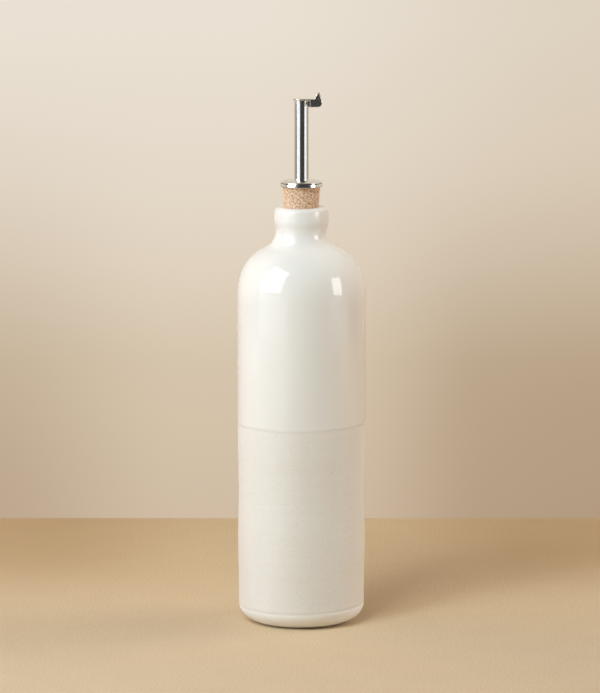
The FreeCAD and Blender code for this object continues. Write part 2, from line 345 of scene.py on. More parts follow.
class Wiring:
    """A node tree under construction."""

    def __init__(self, tree: bpy.types.NodeTree) -> None:
        """Takes a node tree to add to."""
        self.tree = tree

    def node(self, kind: str, **settings: object) -> bpy.types.Node:
        """Adds a node and sets its properties.

        Args:
            kind: the node's type name.
            settings: values of the node's properties, by name.

        Returns:
            The node.
        """
        made = self.tree.nodes.new(kind)
        for key, value in settings.items():
            setattr(made, key, value)
        return made

    def feed(self, value: object, socket: bpy.types.NodeSocket) -> None:
        """Links another node's output to a socket, or sets the socket to a constant.

        Args:
            value: an output socket, or a number or colour.
            socket: the input socket.
        """
        if isinstance(value, bpy.types.NodeSocket):
            self.tree.links.new(value, socket)
        else:
            socket.default_value = value

    def level(self, value: object, low: float, high: float) -> bpy.types.NodeSocket:
        """A value carried evenly from one range to 0 at its low end and 1 at its high end.

        Args:
            value: the value.
            low: where the result is 0.
            high: where the result is 1.

        Returns:
            The output socket, held between 0 and 1.
        """
        made = self.node("ShaderNodeMapRange", interpolation_type="LINEAR")
        self.feed(value, made.inputs["Value"])
        made.inputs["From Min"].default_value = low
        made.inputs["From Max"].default_value = high
        return made.outputs["Result"]

    def light(self, kind: str, colour: Colour, strength: float) -> bpy.types.NodeSocket:
        """A shader that gives off one colour.

        Args:
            kind: the shader node's type name.
            colour: its colour.
            strength: its strength.

        Returns:
            The shader's output socket.
        """
        made = self.node(kind)
        made.inputs["Color"].default_value = (*colour, 1.0)
        made.inputs["Strength"].default_value = strength
        return made.outputs[0]

    def choice(self, share: bpy.types.NodeSocket, first: bpy.types.NodeSocket,
               second: bpy.types.NodeSocket) -> bpy.types.NodeSocket:
        """A mix of two shaders.

        Args:
            share: 0 for the first shader, 1 for the second.
            first: output of the first shader.
            second: output of the second shader.

        Returns:
            The mixed shader's output socket.
        """
        made = self.node("ShaderNodeMixShader")
        for place, value in enumerate((share, first, second)):
            self.feed(value, made.inputs[place])
        return made.outputs[0]


class Recipe(Wiring):
    """A material under construction: its node tree and its main shader."""

    def __init__(self, name: str) -> None:
        """Starts a material with one shader and its output.

        Args:
            name: the material's name.
        """
        self.material = bpy.data.materials.new(name)
        self.material.use_nodes = True
        super().__init__(self.material.node_tree)
        self.shader = self.tree.nodes["Principled BSDF"]
        self.places = self.node("ShaderNodeTexCoord").outputs["Object"]

    def stretched(self, x: float, y: float, z: float) -> bpy.types.NodeSocket:
        """Object coordinates multiplied along each axis.

        Args:
            x: factor along x.
            y: factor along y.
            z: factor along z.

        Returns:
            The output socket of the coordinates.
        """
        mapping = self.node("ShaderNodeMapping", vector_type="POINT")
        self.feed(self.places, mapping.inputs["Vector"])
        mapping.inputs["Scale"].default_value = (x, y, z)
        return mapping.outputs["Vector"]

    def noise(self, places: bpy.types.NodeSocket, scale: float, detail: float = 2.0,
              rough: float = 0.5, distortion: float = 0.0) -> bpy.types.NodeSocket:
        """Noise between about 0.25 and 0.75.

        Args:
            places: the coordinates that it reads.
            scale: its coarsest waves to the metre.
            detail: how many finer layers are added.
            rough: share of each finer layer in the one before it.
            distortion: how far the pattern is pulled about.

        Returns:
            The output socket.
        """
        made = self.node("ShaderNodeTexNoise", noise_dimensions="3D")
        self.feed(places, made.inputs["Vector"])
        made.inputs["Scale"].default_value = scale
        made.inputs["Detail"].default_value = detail
        made.inputs["Roughness"].default_value = rough
        made.inputs["Distortion"].default_value = distortion
        return made.outputs["Fac"]

    def cells(self, scale: float) -> bpy.types.NodeSocket:
        """Distance to the nearest of scattered points.

        Args:
            scale: points to the metre along each axis.

        Returns:
            The output socket of the distance, in spacings of the points.
        """
        made = self.node("ShaderNodeTexVoronoi", feature="F1")
        self.feed(self.places, made.inputs["Vector"])
        made.inputs["Scale"].default_value = scale
        return made.outputs["Distance"]

    def attribute(self, name: str) -> bpy.types.NodeSocket:
        """A number stored on the mesh's points."""
        return self.node("ShaderNodeAttribute", attribute_name=name).outputs["Fac"]

    def spread(self, value: object, low: float, high: float, start: float = 0.0,
               end: float = 1.0) -> bpy.types.NodeSocket:
        """A value carried smoothly from one range to another, and held beyond it.

        Args:
            value: the value.
            low: where the result is at its start.
            high: where the result is at its end.
            start: the result's start.
            end: the result's end.

        Returns:
            The output socket.
        """
        made = self.node("ShaderNodeMapRange", interpolation_type="SMOOTHSTEP")
        self.feed(value, made.inputs["Value"])
        ends = {"From Min": low, "From Max": high, "To Min": start, "To Max": end}
        for key, number in ends.items():
            made.inputs[key].default_value = number
        return made.outputs["Result"]

    def sums(self, operation: str, first: object, second: object) -> bpy.types.NodeSocket:
        """One arithmetic operation on two values.

        Args:
            operation: the operation's name.
            first: the first value, a socket or a number.
            second: the second value, a socket or a number.

        Returns:
            The output socket.
        """
        made = self.node("ShaderNodeMath", operation=operation)
        self.feed(first, made.inputs[0])
        self.feed(second, made.inputs[1])
        return made.outputs[0]

    def blend(self, share: object, first: object, second: object,
              mode: str = "MIX") -> bpy.types.NodeSocket:
        """A mix of two colours.

        Args:
            share: share of the second colour.
            first: the first colour, a socket or three numbers.
            second: the second colour, a socket or three numbers.
            mode: how the second is laid over the first.

        Returns:
            The output socket of the colour.
        """
        made = self.node("ShaderNodeMix", data_type="RGBA", blend_type=mode)
        self.feed(share, made.inputs["Factor"])
        colour_inputs = [socket for socket in made.inputs if socket.type == "RGBA"]
        for value, socket in zip((first, second), colour_inputs):
            self.feed((*value, 1.0) if isinstance(value, tuple) else value, socket)
        return next(socket for socket in made.outputs if socket.type == "RGBA")

    def ramp(self, value: bpy.types.NodeSocket,
             stops: list[tuple[float, Colour]]) -> bpy.types.NodeSocket:
        """A colour read from a value through a ramp.

        Args:
            value: the value.
            stops: position and colour of each stop, in rising order.

        Returns:
            The output socket of the colour.
        """
        made = self.node("ShaderNodeValToRGB")
        self.feed(value, made.inputs["Fac"])
        ramp = made.color_ramp
        while len(ramp.elements) < len(stops):
            ramp.elements.new(0.5)
        for element, (position, colour) in zip(ramp.elements, stops):
            element.position = position
            element.color = (*colour, 1.0)
        return made.outputs["Color"]

    def relief(self, height: bpy.types.NodeSocket, depth: float,
               below: bpy.types.NodeSocket | None = None) -> bpy.types.NodeSocket:
        """Relief worked into the shading, on top of another relief if there is one.

        Args:
            height: the relief's height, from 0 to 1.
            depth: depth of the full height, in metres.
            below: the relief that it lies on.

        Returns:
            The output socket of the surface's direction.
        """
        made = self.node("ShaderNodeBump")
        made.inputs["Distance"].default_value = depth
        self.feed(height, made.inputs["Height"])
        if below is not None:
            self.feed(below, made.inputs["Normal"])
        return made.outputs["Normal"]

    def wear(self, piece: bpy.types.Object) -> None:
        """Puts the material on a piece in place of any it has."""
        piece.data.materials.clear()
        piece.data.materials.append(self.material)


@dataclass(frozen=True)
class StonewareFinish:
    """Cream glaze, glossy above the dip line and thin, dry and matte below it.

    Depths and edges are in metres. A share says how much of a tone is laid on.
    """

    glazed: Colour = (0.885, 0.866, 0.828)
    glazed_warm: Colour = (0.865, 0.842, 0.795)
    bare: Colour = (0.865, 0.85, 0.810)
    bare_warm: Colour = (0.845, 0.82, 0.765)
    speck: Colour = (0.52, 0.44, 0.33)
    edge: Colour = (0.74, 0.70, 0.62)
    # foot: the near-white of the painted light laid on the band below the foot's groove
    foot: Colour = (0.96, 0.96, 0.95)
    gloss: float = 0.012
    worn: float = 0.018
    matte: float = 0.46
    sandy: float = 0.12
    speck_share: float = 0.20
    ring_share: float = 0.035
    pit_share: float = 0.5
    edge_share: float = 0.16
    painted_foot_light_share: float = 0.95
    glaze_edge: tuple[float, float] = (-0.0004, 0.0006)
    line_edges: tuple[float, float] = (0.0002, 0.0012)
    painted_foot_light_edge: tuple[float, float] = (-0.0016, 0.0004)
    peel_depth: float = 0.000006
    sand_depth: float = 0.00012
    ring_depth: float = 0.00003
    ring_under_glaze: float = 0.15
    pit_depth: float = 0.00018

    def recipe(self) -> Recipe:
        """Builds the material.

        Colour drifts slowly over the body, a finer grain lies over the bare clay, and the
        glaze's edge is a thin darker line where it ran thin. Roughness steps from matte to
        gloss across that line. Relief is a faint orange peel in the glaze, turning lines
        and sandy grain in the bare clay. The band below the foot's groove is lightened by a
        near-white painted light, where the heel turns under towards the floor.

        Returns:
            The material's recipe.
        """
        made = Recipe("stoneware")
        above = made.attribute("above_dip")
        glaze = made.spread(above, *self.glaze_edge)
        bareness = made.spread(above, *self.glaze_edge, 1.0, 0.0)
        drift = made.spread(made.noise(made.stretched(1, 1, 0.5), 22.0, 3.0), 0.32, 0.68)
        rings = made.noise(made.stretched(14, 14, 420), 1.0, 4.0, 0.6, 0.3)
        grain = made.noise(made.places, 1500.0, 3.0, 0.65)
        pit = made.spread(made.cells(330.0), 0.05, 0.16, 1.0, 0.0)
        pit = made.sums("MULTIPLY", pit, made.spread(made.noise(made.places, 160.0), 0.54, 0.62))

        glazed = made.blend(drift, self.glazed_warm, self.glazed)
        bare = made.blend(drift, self.bare_warm, self.bare)
        bare = made.blend(made.spread(grain, *MOST, self.speck_share, 0.0), bare, self.speck)
        bare = made.blend(made.spread(rings, *MOST, self.ring_share, 0.0), bare, self.speck)
        bare = made.blend(made.sums("MULTIPLY", pit, self.pit_share), bare, self.speck)
        colour = made.blend(glaze, bare, glazed)
        inner, outer = self.line_edges
        line = made.sums("MULTIPLY", made.spread(above, -outer, -inner),
                         made.spread(above, inner, outer, 1.0, 0.0))
        colour = made.blend(made.sums("MULTIPLY", line, self.edge_share), colour, self.edge)
        # Painted light: the band below the foot's groove, where the heel turns under, is lightened
        # towards near-white
        foot = made.spread(made.attribute("above_foot"), *self.painted_foot_light_edge, self.painted_foot_light_share, 0.0)
        colour = made.blend(foot, colour, self.foot)
        made.feed(colour, made.shader.inputs["Base Color"])

        worn = made.spread(made.noise(made.places, 90.0, 3.0), *MOST, 0.0, self.worn)
        glossy = made.sums("ADD", worn, self.gloss)
        matte = made.sums("ADD", made.spread(grain, *MOST, 0.0, self.sandy), self.matte)
        gap = made.sums("SUBTRACT", glossy, matte)
        rough = made.sums("ADD", matte, made.sums("MULTIPLY", gap, glaze))
        made.feed(rough, made.shader.inputs["Roughness"])
        made.shader.inputs["IOR"].default_value = 1.5

        surface = made.relief(made.noise(made.places, 260.0, 2.0), self.peel_depth)
        surface = made.relief(made.sums("MULTIPLY", grain, bareness), self.sand_depth, surface)
        shown = made.sums("MULTIPLY", bareness, 1 - self.ring_under_glaze)
        shown = made.sums("ADD", shown, self.ring_under_glaze)
        surface = made.relief(made.sums("MULTIPLY", rings, shown), self.ring_depth, surface)
        holes = made.sums("MULTIPLY", made.sums("MULTIPLY", pit, bareness), -1.0)
        surface = made.relief(holes, self.pit_depth, surface)
        made.feed(surface, made.shader.inputs["Normal"])
        return made


@dataclass(frozen=True)
class CorkFinish:
    """Pressed cork granules, pale and brown, with dark gaps between them."""

    pale: Colour = (0.89, 0.72, 0.535)
    middle: Colour = (0.69, 0.42, 0.255)
    brown: Colour = (0.50, 0.22, 0.105)
    gap: Colour = (0.36, 0.15, 0.065)
    granule_tone: float = 0.62
    speck_tone: float = 0.75
    fleck_share: float = 0.35
    gap_share: float = 0.75
    gap_width: float = 0.17
    rough: tuple[float, float] = (0.78, 0.95)
    speck_depth: float = 0.00020
    gap_depth: float = 0.00012

    def recipe(self) -> Recipe:
        """Builds the material.

        The colour of each granule comes from the cell number stored on the mesh, finer
        specks from a noise, and the gaps between granules are darker. The surface is dry.

        Returns:
            The material's recipe.
        """
        made = Recipe("cork")
        fine = made.noise(made.places, 2600.0, 4.0, 0.7)
        tone = made.sums("ADD", made.sums("MULTIPLY", made.attribute("granule"), self.granule_tone),
                         made.sums("MULTIPLY", fine, self.speck_tone))
        colour = made.ramp(tone, [(0.28, self.brown), (0.60, self.middle), (0.86, self.pale)])
        fleck = made.spread(made.cells(1900.0), 0.10, 0.30, self.fleck_share, 0.0)
        colour = made.blend(fleck, colour, self.brown)
        gap = made.spread(made.attribute("border"), 0.0, self.gap_width, self.gap_share, 0.0)
        colour = made.blend(gap, colour, self.gap)
        made.feed(colour, made.shader.inputs["Base Color"])
        made.feed(made.spread(fine, *MOST, *self.rough), made.shader.inputs["Roughness"])
        surface = made.relief(fine, self.speck_depth)
        surface = made.relief(made.sums("MULTIPLY", gap, -1.0), self.gap_depth, surface)
        made.feed(surface, made.shader.inputs["Normal"])
        return made


class Polish(Enum):
    """Which way the polishing marks run on a steel piece."""

    ALONG = (1400.0, 1400.0, 30.0)
    AROUND = (160.0, 160.0, 2600.0)
    SHEET = (1500.0, 60.0, 1500.0)


@dataclass(frozen=True)
class SteelFinish:
    """Polished stainless steel with fine polishing marks and a slight haze."""

    name: str
    polish: Polish
    tone: Colour = (0.76, 0.75, 0.735)
    dull: Colour = (0.62, 0.605, 0.585)
    # near-black painted shade, laid in a groove where shade falls
    painted_groove_shade: Colour = (0.035, 0.032, 0.03)
    haze_share: float = 0.35
    rough: float = 0.07
    haze_rough: float = 0.05
    mark_rough: float = 0.07
    mark_depth: float = 0.000006
    paints_groove_shade: bool = False

    def recipe(self) -> Recipe:
        """Builds the material.

        A noise drawn out along the polishing marks moves the roughness and a shallow
        relief, and a slow noise adds patches of haze. A piece with a groove gets a near-black
        painted shade in it.

        Returns:
            The material's recipe.
        """
        made = Recipe(self.name)
        marks = made.noise(made.stretched(*self.polish.value), 1.0, 3.0, 0.6)
        haze = made.noise(made.places, 240.0, 3.0)
        colour = made.blend(made.spread(haze, 0.35, 0.7, self.haze_share, 0.0), self.tone, self.dull)
        if self.paints_groove_shade:
            # Painted shade: the groove is darkened to near black where shade falls in it
            colour = made.blend(made.attribute("groove"), colour, self.painted_groove_shade)
        made.feed(colour, made.shader.inputs["Base Color"])
        made.shader.inputs["Metallic"].default_value = 1.0
        rough = made.sums("ADD", made.spread(marks, *MOST, 0.0, self.mark_rough),
                          made.spread(haze, *MOST, self.rough + self.haze_rough, self.rough))
        made.feed(rough, made.shader.inputs["Roughness"])
        made.feed(made.relief(marks, self.mark_depth), made.shader.inputs["Normal"])
        return made


# ---------------------------------------------------------------------------
# The pieces
# ---------------------------------------------------------------------------

@dataclass
class Bottle:
    """Hollow stoneware bottle: outside, lip, bore and hollow as one closed surface.

    Lengths are millimetres. sweep_angle is in degrees and tilt_angle in radians. Each
    layer of marks is its steps round, its pitch in height, its seed and its weight.
    """

    body: float = 39.0
    bare_inset: float = 0.55
    swell: float = 0.24
    swell_pitch: float = 66.0
    swell_height: float = 49.0
    wall_height: float = 198.8
    heel_width: float = 14.1
    heel_height: float = 11.3
    groove: float = 0.17
    groove_width: float = 0.75
    groove_reach: float = 20.0
    sweep: float = 47.2
    sweep_angle: float = 17.8
    shoulder: float = 25.9
    neck_root: float = 11.4
    bore: float = 9.1
    neck_wall: float = 6.6
    lip_proud: float = 0.9
    lip_start: float = 0.8
    lip_swell: float = 6.2
    lip_band: float = 7.7
    lip_round: float = 2.4
    mouth_round: float = 1.2
    wall: float = 5.2
    floor: float = 7.0
    inner_heel: float = 10.0
    inner_root: float = 14.0
    cork_top: float = 11.5
    cork_foot_gap: float = 1.0
    cork_showing: float = 12.3
    dip: float = 121.9
    glaze_step: float = 2.4
    step_at_line: float = 0.25
    heel_clear: float = 0.6
    mark_depth: float = 0.035
    mark_layers: tuple[tuple[int, float, int, float], ...] = ((5, 7.0, 11, 1.0), (9, 3.1, 12, 0.5))
    marks_begin: float = 14.0
    marks_full: float = 26.0
    marks_fade: float = 6.0
    marks_end: float = 252.0
    lip_close: float = 0.0125
    lip_tilt: float = 0.22
    tilt_angle: float = 0.35
    rim_reach: float = 4.5
    inner_flat: float = 2.0
    beyond: float = 60.0
    columns: int = 288
    finish: StonewareFinish = field(default_factory=StonewareFinish)

    def __post_init__(self) -> None:
        """Works out the centres and levels that follow from the sizes."""
        turn = math.radians(self.sweep_angle)
        reach = self.sweep - self.shoulder
        self.sweep_centre = (self.body - self.sweep, self.wall_height)
        self.shoulder_centre = (self.sweep_centre[0] + reach * math.cos(turn),
                                self.wall_height + reach * math.sin(turn))
        self.neck = self.bore + self.neck_wall
        self.lip = self.neck + self.lip_proud
        self.outer_root = self.root_centre(self.shoulder, self.neck_root, self.neck)
        self.hollow_root = self.root_centre(self.shoulder - self.wall, self.inner_root, self.bore)
        self.lip_foot = self.outer_root[1] + self.lip_start
        self.lip_full = self.lip_foot + self.lip_swell
        self.lip_top = self.lip_full + self.lip_band

    def root_centre(self, shoulder: float, root: float, upright: float) -> Point:
        """Centre of the hollow curve that touches the shoulder and an upright line.

        Args:
            shoulder: radius of the shoulder's arc.
            root: radius of the hollow curve.
            upright: radius of the upright line.

        Returns:
            The centre, as (radius, height).
        """
        across = upright + root - self.shoulder_centre[0]
        up = math.sqrt((shoulder + root) ** 2 - across ** 2)
        return upright + root, self.shoulder_centre[1] + up

    def bare_radius(self, height: np.ndarray) -> np.ndarray:
        """Bare wall's radius: a cosine of the height, as wide as the thrown swellings."""
        wave = np.cos(2 * np.pi * (height - self.swell_height) / self.swell_pitch)
        return self.body - self.bare_inset + self.swell * wave

    def shoulder_run(self, inset: float, root: Point, root_radius: float,
                     counts: tuple[int, int, int]) -> np.ndarray:
        """Sweep, shoulder and neck root as three arcs that touch one another.

        Args:
            inset: how far the run lies inside the outer surface.
            root: centre of the hollow curve.
            root_radius: radius of the hollow curve.
            counts: rows of each arc.

        Returns:
            Profile rows, from the wall upwards.
        """
        rise = root[1] - self.shoulder_centre[1]
        lean = math.degrees(math.atan2(rise, root[0] - self.shoulder_centre[0]))
        return chained(
            arc(self.sweep_centre, self.sweep - inset, 0, self.sweep_angle, counts[0]),
            arc(self.shoulder_centre, self.shoulder - inset, self.sweep_angle, lean, counts[1]),
            arc(root, root_radius, 180 + lean, 180, counts[2]),
        )

    def bare_run(self, low: float, high: float, count: int) -> np.ndarray:
        """Rows up the bare wall, in equal steps of height.

        Args:
            low: first height.
            high: last height.
            count: number of rows.

        Returns:
            Array of shape (count, 2).
        """
        heights = np.linspace(low, high, count)
        return np.stack([self.bare_radius(heights), heights], axis=1)

    def outside(self) -> np.ndarray:
        """Profile of the outside, from near the middle of the base to the top of the lip.

        The heel is a quarter ellipse. The rows lie closest at the foot's groove and at the
        glaze's edge, where the wall changes most.

        Returns:
            Array of (radius, height) rows.
        """
        foot = float(self.bare_radius(np.array(self.heel_height)))
        turn = np.radians(np.linspace(-90, 0, 46))
        heel = np.stack([foot - self.heel_width + self.heel_width * np.cos(turn),
                         self.heel_height + self.heel_height * np.sin(turn)], axis=1)
        low_wall = self.bare_run(self.heel_height, self.heel_height + 3.0, 11)
        bare = self.bare_run(self.heel_height + 3.0, self.dip - 2.0, 74)
        edge = self.bare_run(self.dip - 2.0, self.dip + 3.0, 22)
        upper = straight((self.body, self.dip + 3.0), (self.body, self.wall_height), 36)
        edge[-1] = upper[0]
        base = straight((self.inner_flat, 0.0), (foot - self.heel_width, 0.0), 5)
        neck = straight((self.neck, self.outer_root[1]), (self.neck, self.lip_foot), 3)
        return chained(
            base, heel, low_wall, bare, edge, upper,
            self.shoulder_run(0.0, self.outer_root, self.neck_root, (14, 30, 16)), neck,
            eased((self.neck, self.lip_foot), (self.lip, self.lip_full), 12),
            straight((self.lip, self.lip_full), (self.lip, self.lip_top - self.lip_round), 6),
            arc((self.lip - self.lip_round, self.lip_top - self.lip_round), self.lip_round, 0, 90, 12),
        )

    def inside(self) -> np.ndarray:
        """Profile of the lip's flat, the bore and the hollow, down to its floor.

        The bore tapers as the cork does, and its mouth is rounded by an arc that touches
        the lip's flat and the taper.

        Returns:
            Array of (radius, height) rows.
        """
        tip = self.hollow_root[1] + self.cork_foot_gap
        collar_foot = self.lip_top + self.cork_showing
        taper = math.atan2(self.cork_top - self.bore, collar_foot - tip)
        at_lip = self.cork_top - self.cork_showing * math.tan(taper)
        mouth = at_lip + self.mouth_round * (1 - math.sin(taper)) / math.cos(taper)
        rounding = arc((mouth, self.lip_top - self.mouth_round), self.mouth_round,
                       90, 180 - math.degrees(taper), 7)
        inner = self.body - self.wall
        heel = (inner - self.inner_heel, self.floor + self.inner_heel)
        hollow = self.shoulder_run(self.wall, self.hollow_root, self.inner_root, (5, 10, 8))[::-1]
        return chained(
            straight((self.lip - self.lip_round, self.lip_top), (mouth, self.lip_top), 4),
            rounding,
            straight(tuple(rounding[-1]), (self.bore, tip), 4),
            straight((self.bore, tip), tuple(hollow[0]), 2),
            hollow,
            straight((inner, self.wall_height), (inner, heel[1]), 6),
            arc(heel, self.inner_heel, 0, -90, 8),
            straight((heel[0], self.floor), (self.inner_flat, self.floor), 4),
        )

    def dip_height(self, angle: np.ndarray) -> np.ndarray:
        """Height of the glaze's edge: a tilt and two gentle waves round the bottle."""
        return (self.dip + 0.85 * np.cos(angle - 0.05) + 0.35 * np.sin(2 * angle + 0.4)
                + 0.22 * np.sin(5 * angle + 1.1))

    def above_foot(self, angle: np.ndarray, height: np.ndarray) -> np.ndarray:
        """Height above the soft groove over the foot, which tilts a little round the bottle."""
        level = self.heel_height - 0.4 + 0.7 * np.cos(angle) + 0.4 * np.sin(angle)
        return height - level

    def throwing_marks(self, angle: np.ndarray, height: np.ndarray) -> np.ndarray:
        """Depth of the marks round the wall: two layers of noise, faded out at both ends.

        Args:
            angle: angle round the axis, in radians.
            height: height of the place.

        Returns:
            Depth below the wall's surface, never less than nothing.
        """
        turns = angle / (2 * np.pi)
        deepest = sum(weight for *_, weight in self.mark_layers)
        marks = sum(weight * lattice_noise(turns * steps, height / pitch, steps, seed)
                    for steps, pitch, seed, weight in self.mark_layers)
        fade = (np.clip((height - self.marks_begin) / (self.marks_full - self.marks_begin), 0, 1)
                * np.clip((self.marks_end - height) / self.marks_fade, 0, 1))
        return self.mark_depth * (marks + deepest) / deepest * fade

    def build(self) -> bpy.types.Object:
        """Builds the bottle.

        The turned grid is changed only inwards: the wall steps out from bare to glazed
        across the wavy dip line by the eased share, faint throwing marks run round the
        wall, a soft groove lies over the foot, the lip closes in with the square of its
        height, and it sinks a little towards -X.

        Returns:
            The bottle's object.
        """
        outside, inside = self.outside(), self.inside()
        grid = turned(chained(outside, inside), self.columns)
        angle, radius, height = polar(grid)
        is_outside = (np.arange(len(grid)) < len(outside) - 1)[:, None]

        above = height - self.dip_height(angle)
        step = eased_share(np.clip(above / self.glaze_step + self.step_at_line, 0, 1))
        bare = self.bare_radius(height)
        over_heel = height > self.heel_height + self.heel_clear
        on_wall = is_outside & over_heel & (height < self.wall_height)
        radius = np.where(on_wall, bare + (self.body - bare) * step, radius)

        below_neck = is_outside & (radius > self.neck - 0.5)
        radius = np.where(below_neck, radius - self.throwing_marks(angle, height), radius)

        over_foot = self.above_foot(angle, height)
        dent = self.groove * np.exp(-(over_foot / self.groove_width) ** 2)
        radius = np.where(is_outside & (height < self.groove_reach), radius - dent, radius)

        rise = np.clip(height - self.lip_full + 0.5, 0, None)
        lip_side = is_outside & (radius > self.lip - self.lip_round)
        radius = np.where(lip_side, radius - self.lip_close * rise * rise, radius)

        lift = eased_share(np.clip((height - self.lip_full) / self.lip_band, 0, 1))
        sinking = self.lip_tilt * (1 - np.cos(angle + self.tilt_angle)) * lift
        rim = radius > self.lip - self.lip_round - self.rim_reach
        height = np.where(rim, height - sinking, height)

        piece = turned_object("bottle_body", cartesian(angle, radius, height), ring=False)
        point_values(piece, "above_dip", np.where(is_outside, above, self.beyond) * MM)
        point_values(piece, "above_foot", np.where(is_outside, over_foot, self.beyond) * MM)
        self.finish.recipe().wear(piece)
        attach(piece, "bottle")
        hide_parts("bottle")
        return piece


@dataclass
class Cork:
    """Tapered stopper of pressed cork, drilled for the spout tube.

    Widths round a granule's border are shares of a granule, and pit_tone is the border
    distance that the finish reads in a pit.
    """

    top: float = 11.5
    foot: float = 9.1
    tube: float = 4.35
    chamfer: float = 0.6
    collar_cup: float = 1.8
    granule: float = 0.66
    granule_radius: float = 11.0
    crease: float = 0.08
    crease_width: float = 0.22
    pit: float = 0.22
    pit_share: float = 0.03
    pit_edge: tuple[float, float] = (0.02, 0.12)
    pit_tone: float = 0.03
    row_step: float = 0.30
    columns: int = 380
    finish: CorkFinish = field(default_factory=CorkFinish)

    def build(self) -> bpy.types.Object:
        """Builds the cork from its outline, with its granules sunk into its side.

        The side's radius loses a little towards the borders of the cells, with the square
        of the nearness, and a few whole granules are missing.

        Returns:
            The cork's object.
        """
        low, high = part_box("cork")
        tip, cup_top = low[2] / MM, high[2] / MM
        shown_top = cup_top - self.collar_cup
        corners = [(self.tube, tip), (self.foot - self.chamfer, tip),
                   (self.foot + 0.05, tip + self.chamfer), (self.top, shown_top),
                   (self.top, cup_top), (self.tube, cup_top)]
        outline = softened(corners, [0.1, 0.2, 0.2, 0.1, 0.1, 0.1], 3)
        grid = turned(filled(outline, self.row_step, closed=True), self.columns)
        angle, radius, height = polar(grid)
        round_count = int(round(2 * np.pi * self.granule_radius / self.granule))
        border, number = cell_noise(angle / (2 * np.pi) * round_count, height / self.granule,
                                    round_count, 5)
        side = (radius > self.foot - 0.3) & (height < shown_top - 0.02)
        crease = np.clip(1 - border / self.crease_width, 0, 1) ** 2
        is_pit = number < self.pit_share
        edge, full = self.pit_edge
        sunk = np.clip((border - edge) / (full - edge), 0, 1) * is_pit
        radius = np.where(side, radius - self.crease * crease - self.pit * sunk, radius)
        piece = turned_object("cork_stopper", cartesian(angle, radius, height), ring=True)
        point_values(piece, "granule", number)
        point_values(piece, "border", np.where(is_pit, self.pit_tone, border))
        self.finish.recipe().wear(piece)
        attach(piece, "bottle")
        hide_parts("cork")
        return piece


@dataclass
class Spout:
    """Steel collar over the cork, and the spout tube that passes through it."""

    tube: float = 4.35
    tube_wall: float = 0.8
    tube_chamfer: float = 0.2
    cup: float = 11.5
    collar: float = 12.85
    collar_height: float = 3.0
    roof: float = 1.2
    dome: float = 1.25
    band_height: float = 1.9
    band_inset: float = 0.30
    groove_height: float = 0.36
    groove: float = 0.34
    crown_lift: float = 0.25
    foot_round: Point = (0.2, 0.06)
    cup_chamfer: float = 0.15
    columns: int = 192

    def collar_profile(self) -> np.ndarray:
        """Closed outline of the collar: a band, a groove, a low cap and the cup over the cork.

        The band stands upright at its foot and closes in with the square of its height. The
        groove over it is half a sine wave. The cap is a quarter ellipse, upright at the rim
        and level where it meets the tube.

        Returns:
            Profile rows, upwards on the outside.
        """
        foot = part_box("collar")[0][2] / MM
        crown = foot + self.collar_height + self.dome + self.crown_lift
        up = np.linspace(0.0, 1.0, 15)
        band = np.stack([self.collar - self.band_inset * up ** 2,
                         foot + self.band_height * up], axis=1)
        wide, small = self.foot_round
        corner = [[self.collar - wide, foot], [self.collar - small, foot + small]]
        band = np.concatenate([corner, band[2:]])
        down = np.linspace(0.0, np.pi, 11)[1:-1]
        groove = np.stack([band[-1, 0] - self.groove * np.sin(down),
                           foot + self.band_height + self.groove_height * down / np.pi], axis=1)
        start = foot + self.band_height + self.groove_height
        turn = np.linspace(0.0, np.pi / 2, 60)
        reach = self.collar - self.band_inset - self.tube
        cap = np.stack([self.tube + reach * np.cos(turn),
                        start + (crown - start) * np.sin(turn)], axis=1)
        roof = foot + self.collar_height - self.roof
        inner = np.array([[self.tube, roof], [self.cup, roof],
                          [self.cup, foot + self.cup_chamfer],
                          [self.cup + self.cup_chamfer, foot]])
        return np.concatenate([band, groove, cap, inner])

    def build_collar(self) -> bpy.types.Object:
        """Turns the collar's outline round the axis.

        The attribute groove is 1 in the middle of the groove and falls evenly to 0; it lays
        the near-black painted shade into the groove.

        Returns:
            The collar's object.
        """
        grid = turned(filled(self.collar_profile(), 0.3, closed=True), self.columns)
        piece = turned_object("spout_collar", grid, ring=True)
        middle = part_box("collar")[0][2] / MM + self.band_height + self.groove_height / 2
        depth = 1 - np.abs(grid[..., 2] - middle) / (self.groove_height * 0.75)
        outer = np.hypot(grid[..., 0], grid[..., 1]) > self.cup
        point_values(piece, "groove", np.clip(depth * 1.6, 0, 1) * outer)
        SteelFinish("steel_collar", Polish.AROUND, rough=0.09, paints_groove_shade=True).recipe().wear(piece)
        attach(piece, "bottle")
        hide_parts("collar")
        return piece

    def build_tube(self) -> bpy.types.Object:
        """Turns the tube's wall, with its softened ends, round the axis.

        Returns:
            The tube's object.
        """
        low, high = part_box("spout_tube")
        bottom, top = low[2] / MM, high[2] / MM
        bore = self.tube - self.tube_wall
        corners = [(bore, bottom), (self.tube, bottom), (self.tube, top), (bore, top)]
        outline = softened(corners, [self.tube_chamfer] * 4, 7)
        grid = turned(filled(outline, 4.0, closed=True), self.columns)
        piece = turned_object("spout_pipe", grid, ring=True)
        SteelFinish("steel_tube", Polish.ALONG, rough=0.05).recipe().wear(piece)
        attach(piece, "bottle")
        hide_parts("spout_tube")
        return piece


@dataclass
class Hinge:
    """Flap, hinge pin and lug: solids kept as they are, with their own steel finishes."""

    finishes: dict[str, SteelFinish] = field(default_factory=lambda: {
        "flap": SteelFinish("steel_flap", Polish.SHEET, tone=(0.80, 0.785, 0.765), rough=0.08),
        "hinge_pin": SteelFinish("steel_pin", Polish.AROUND, rough=0.12),
        "hinge_lug": SteelFinish("steel_lug", Polish.ALONG, rough=0.16),
    })

    def dress(self) -> list[bpy.types.Object]:
        """Gives each hinge node its finish.

        Returns:
            The nodes' objects.
        """
        pieces = []
        for node, finish in self.finishes.items():
            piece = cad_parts[node]
            finish.recipe().wear(piece)
            pieces.append(piece)
        return pieces


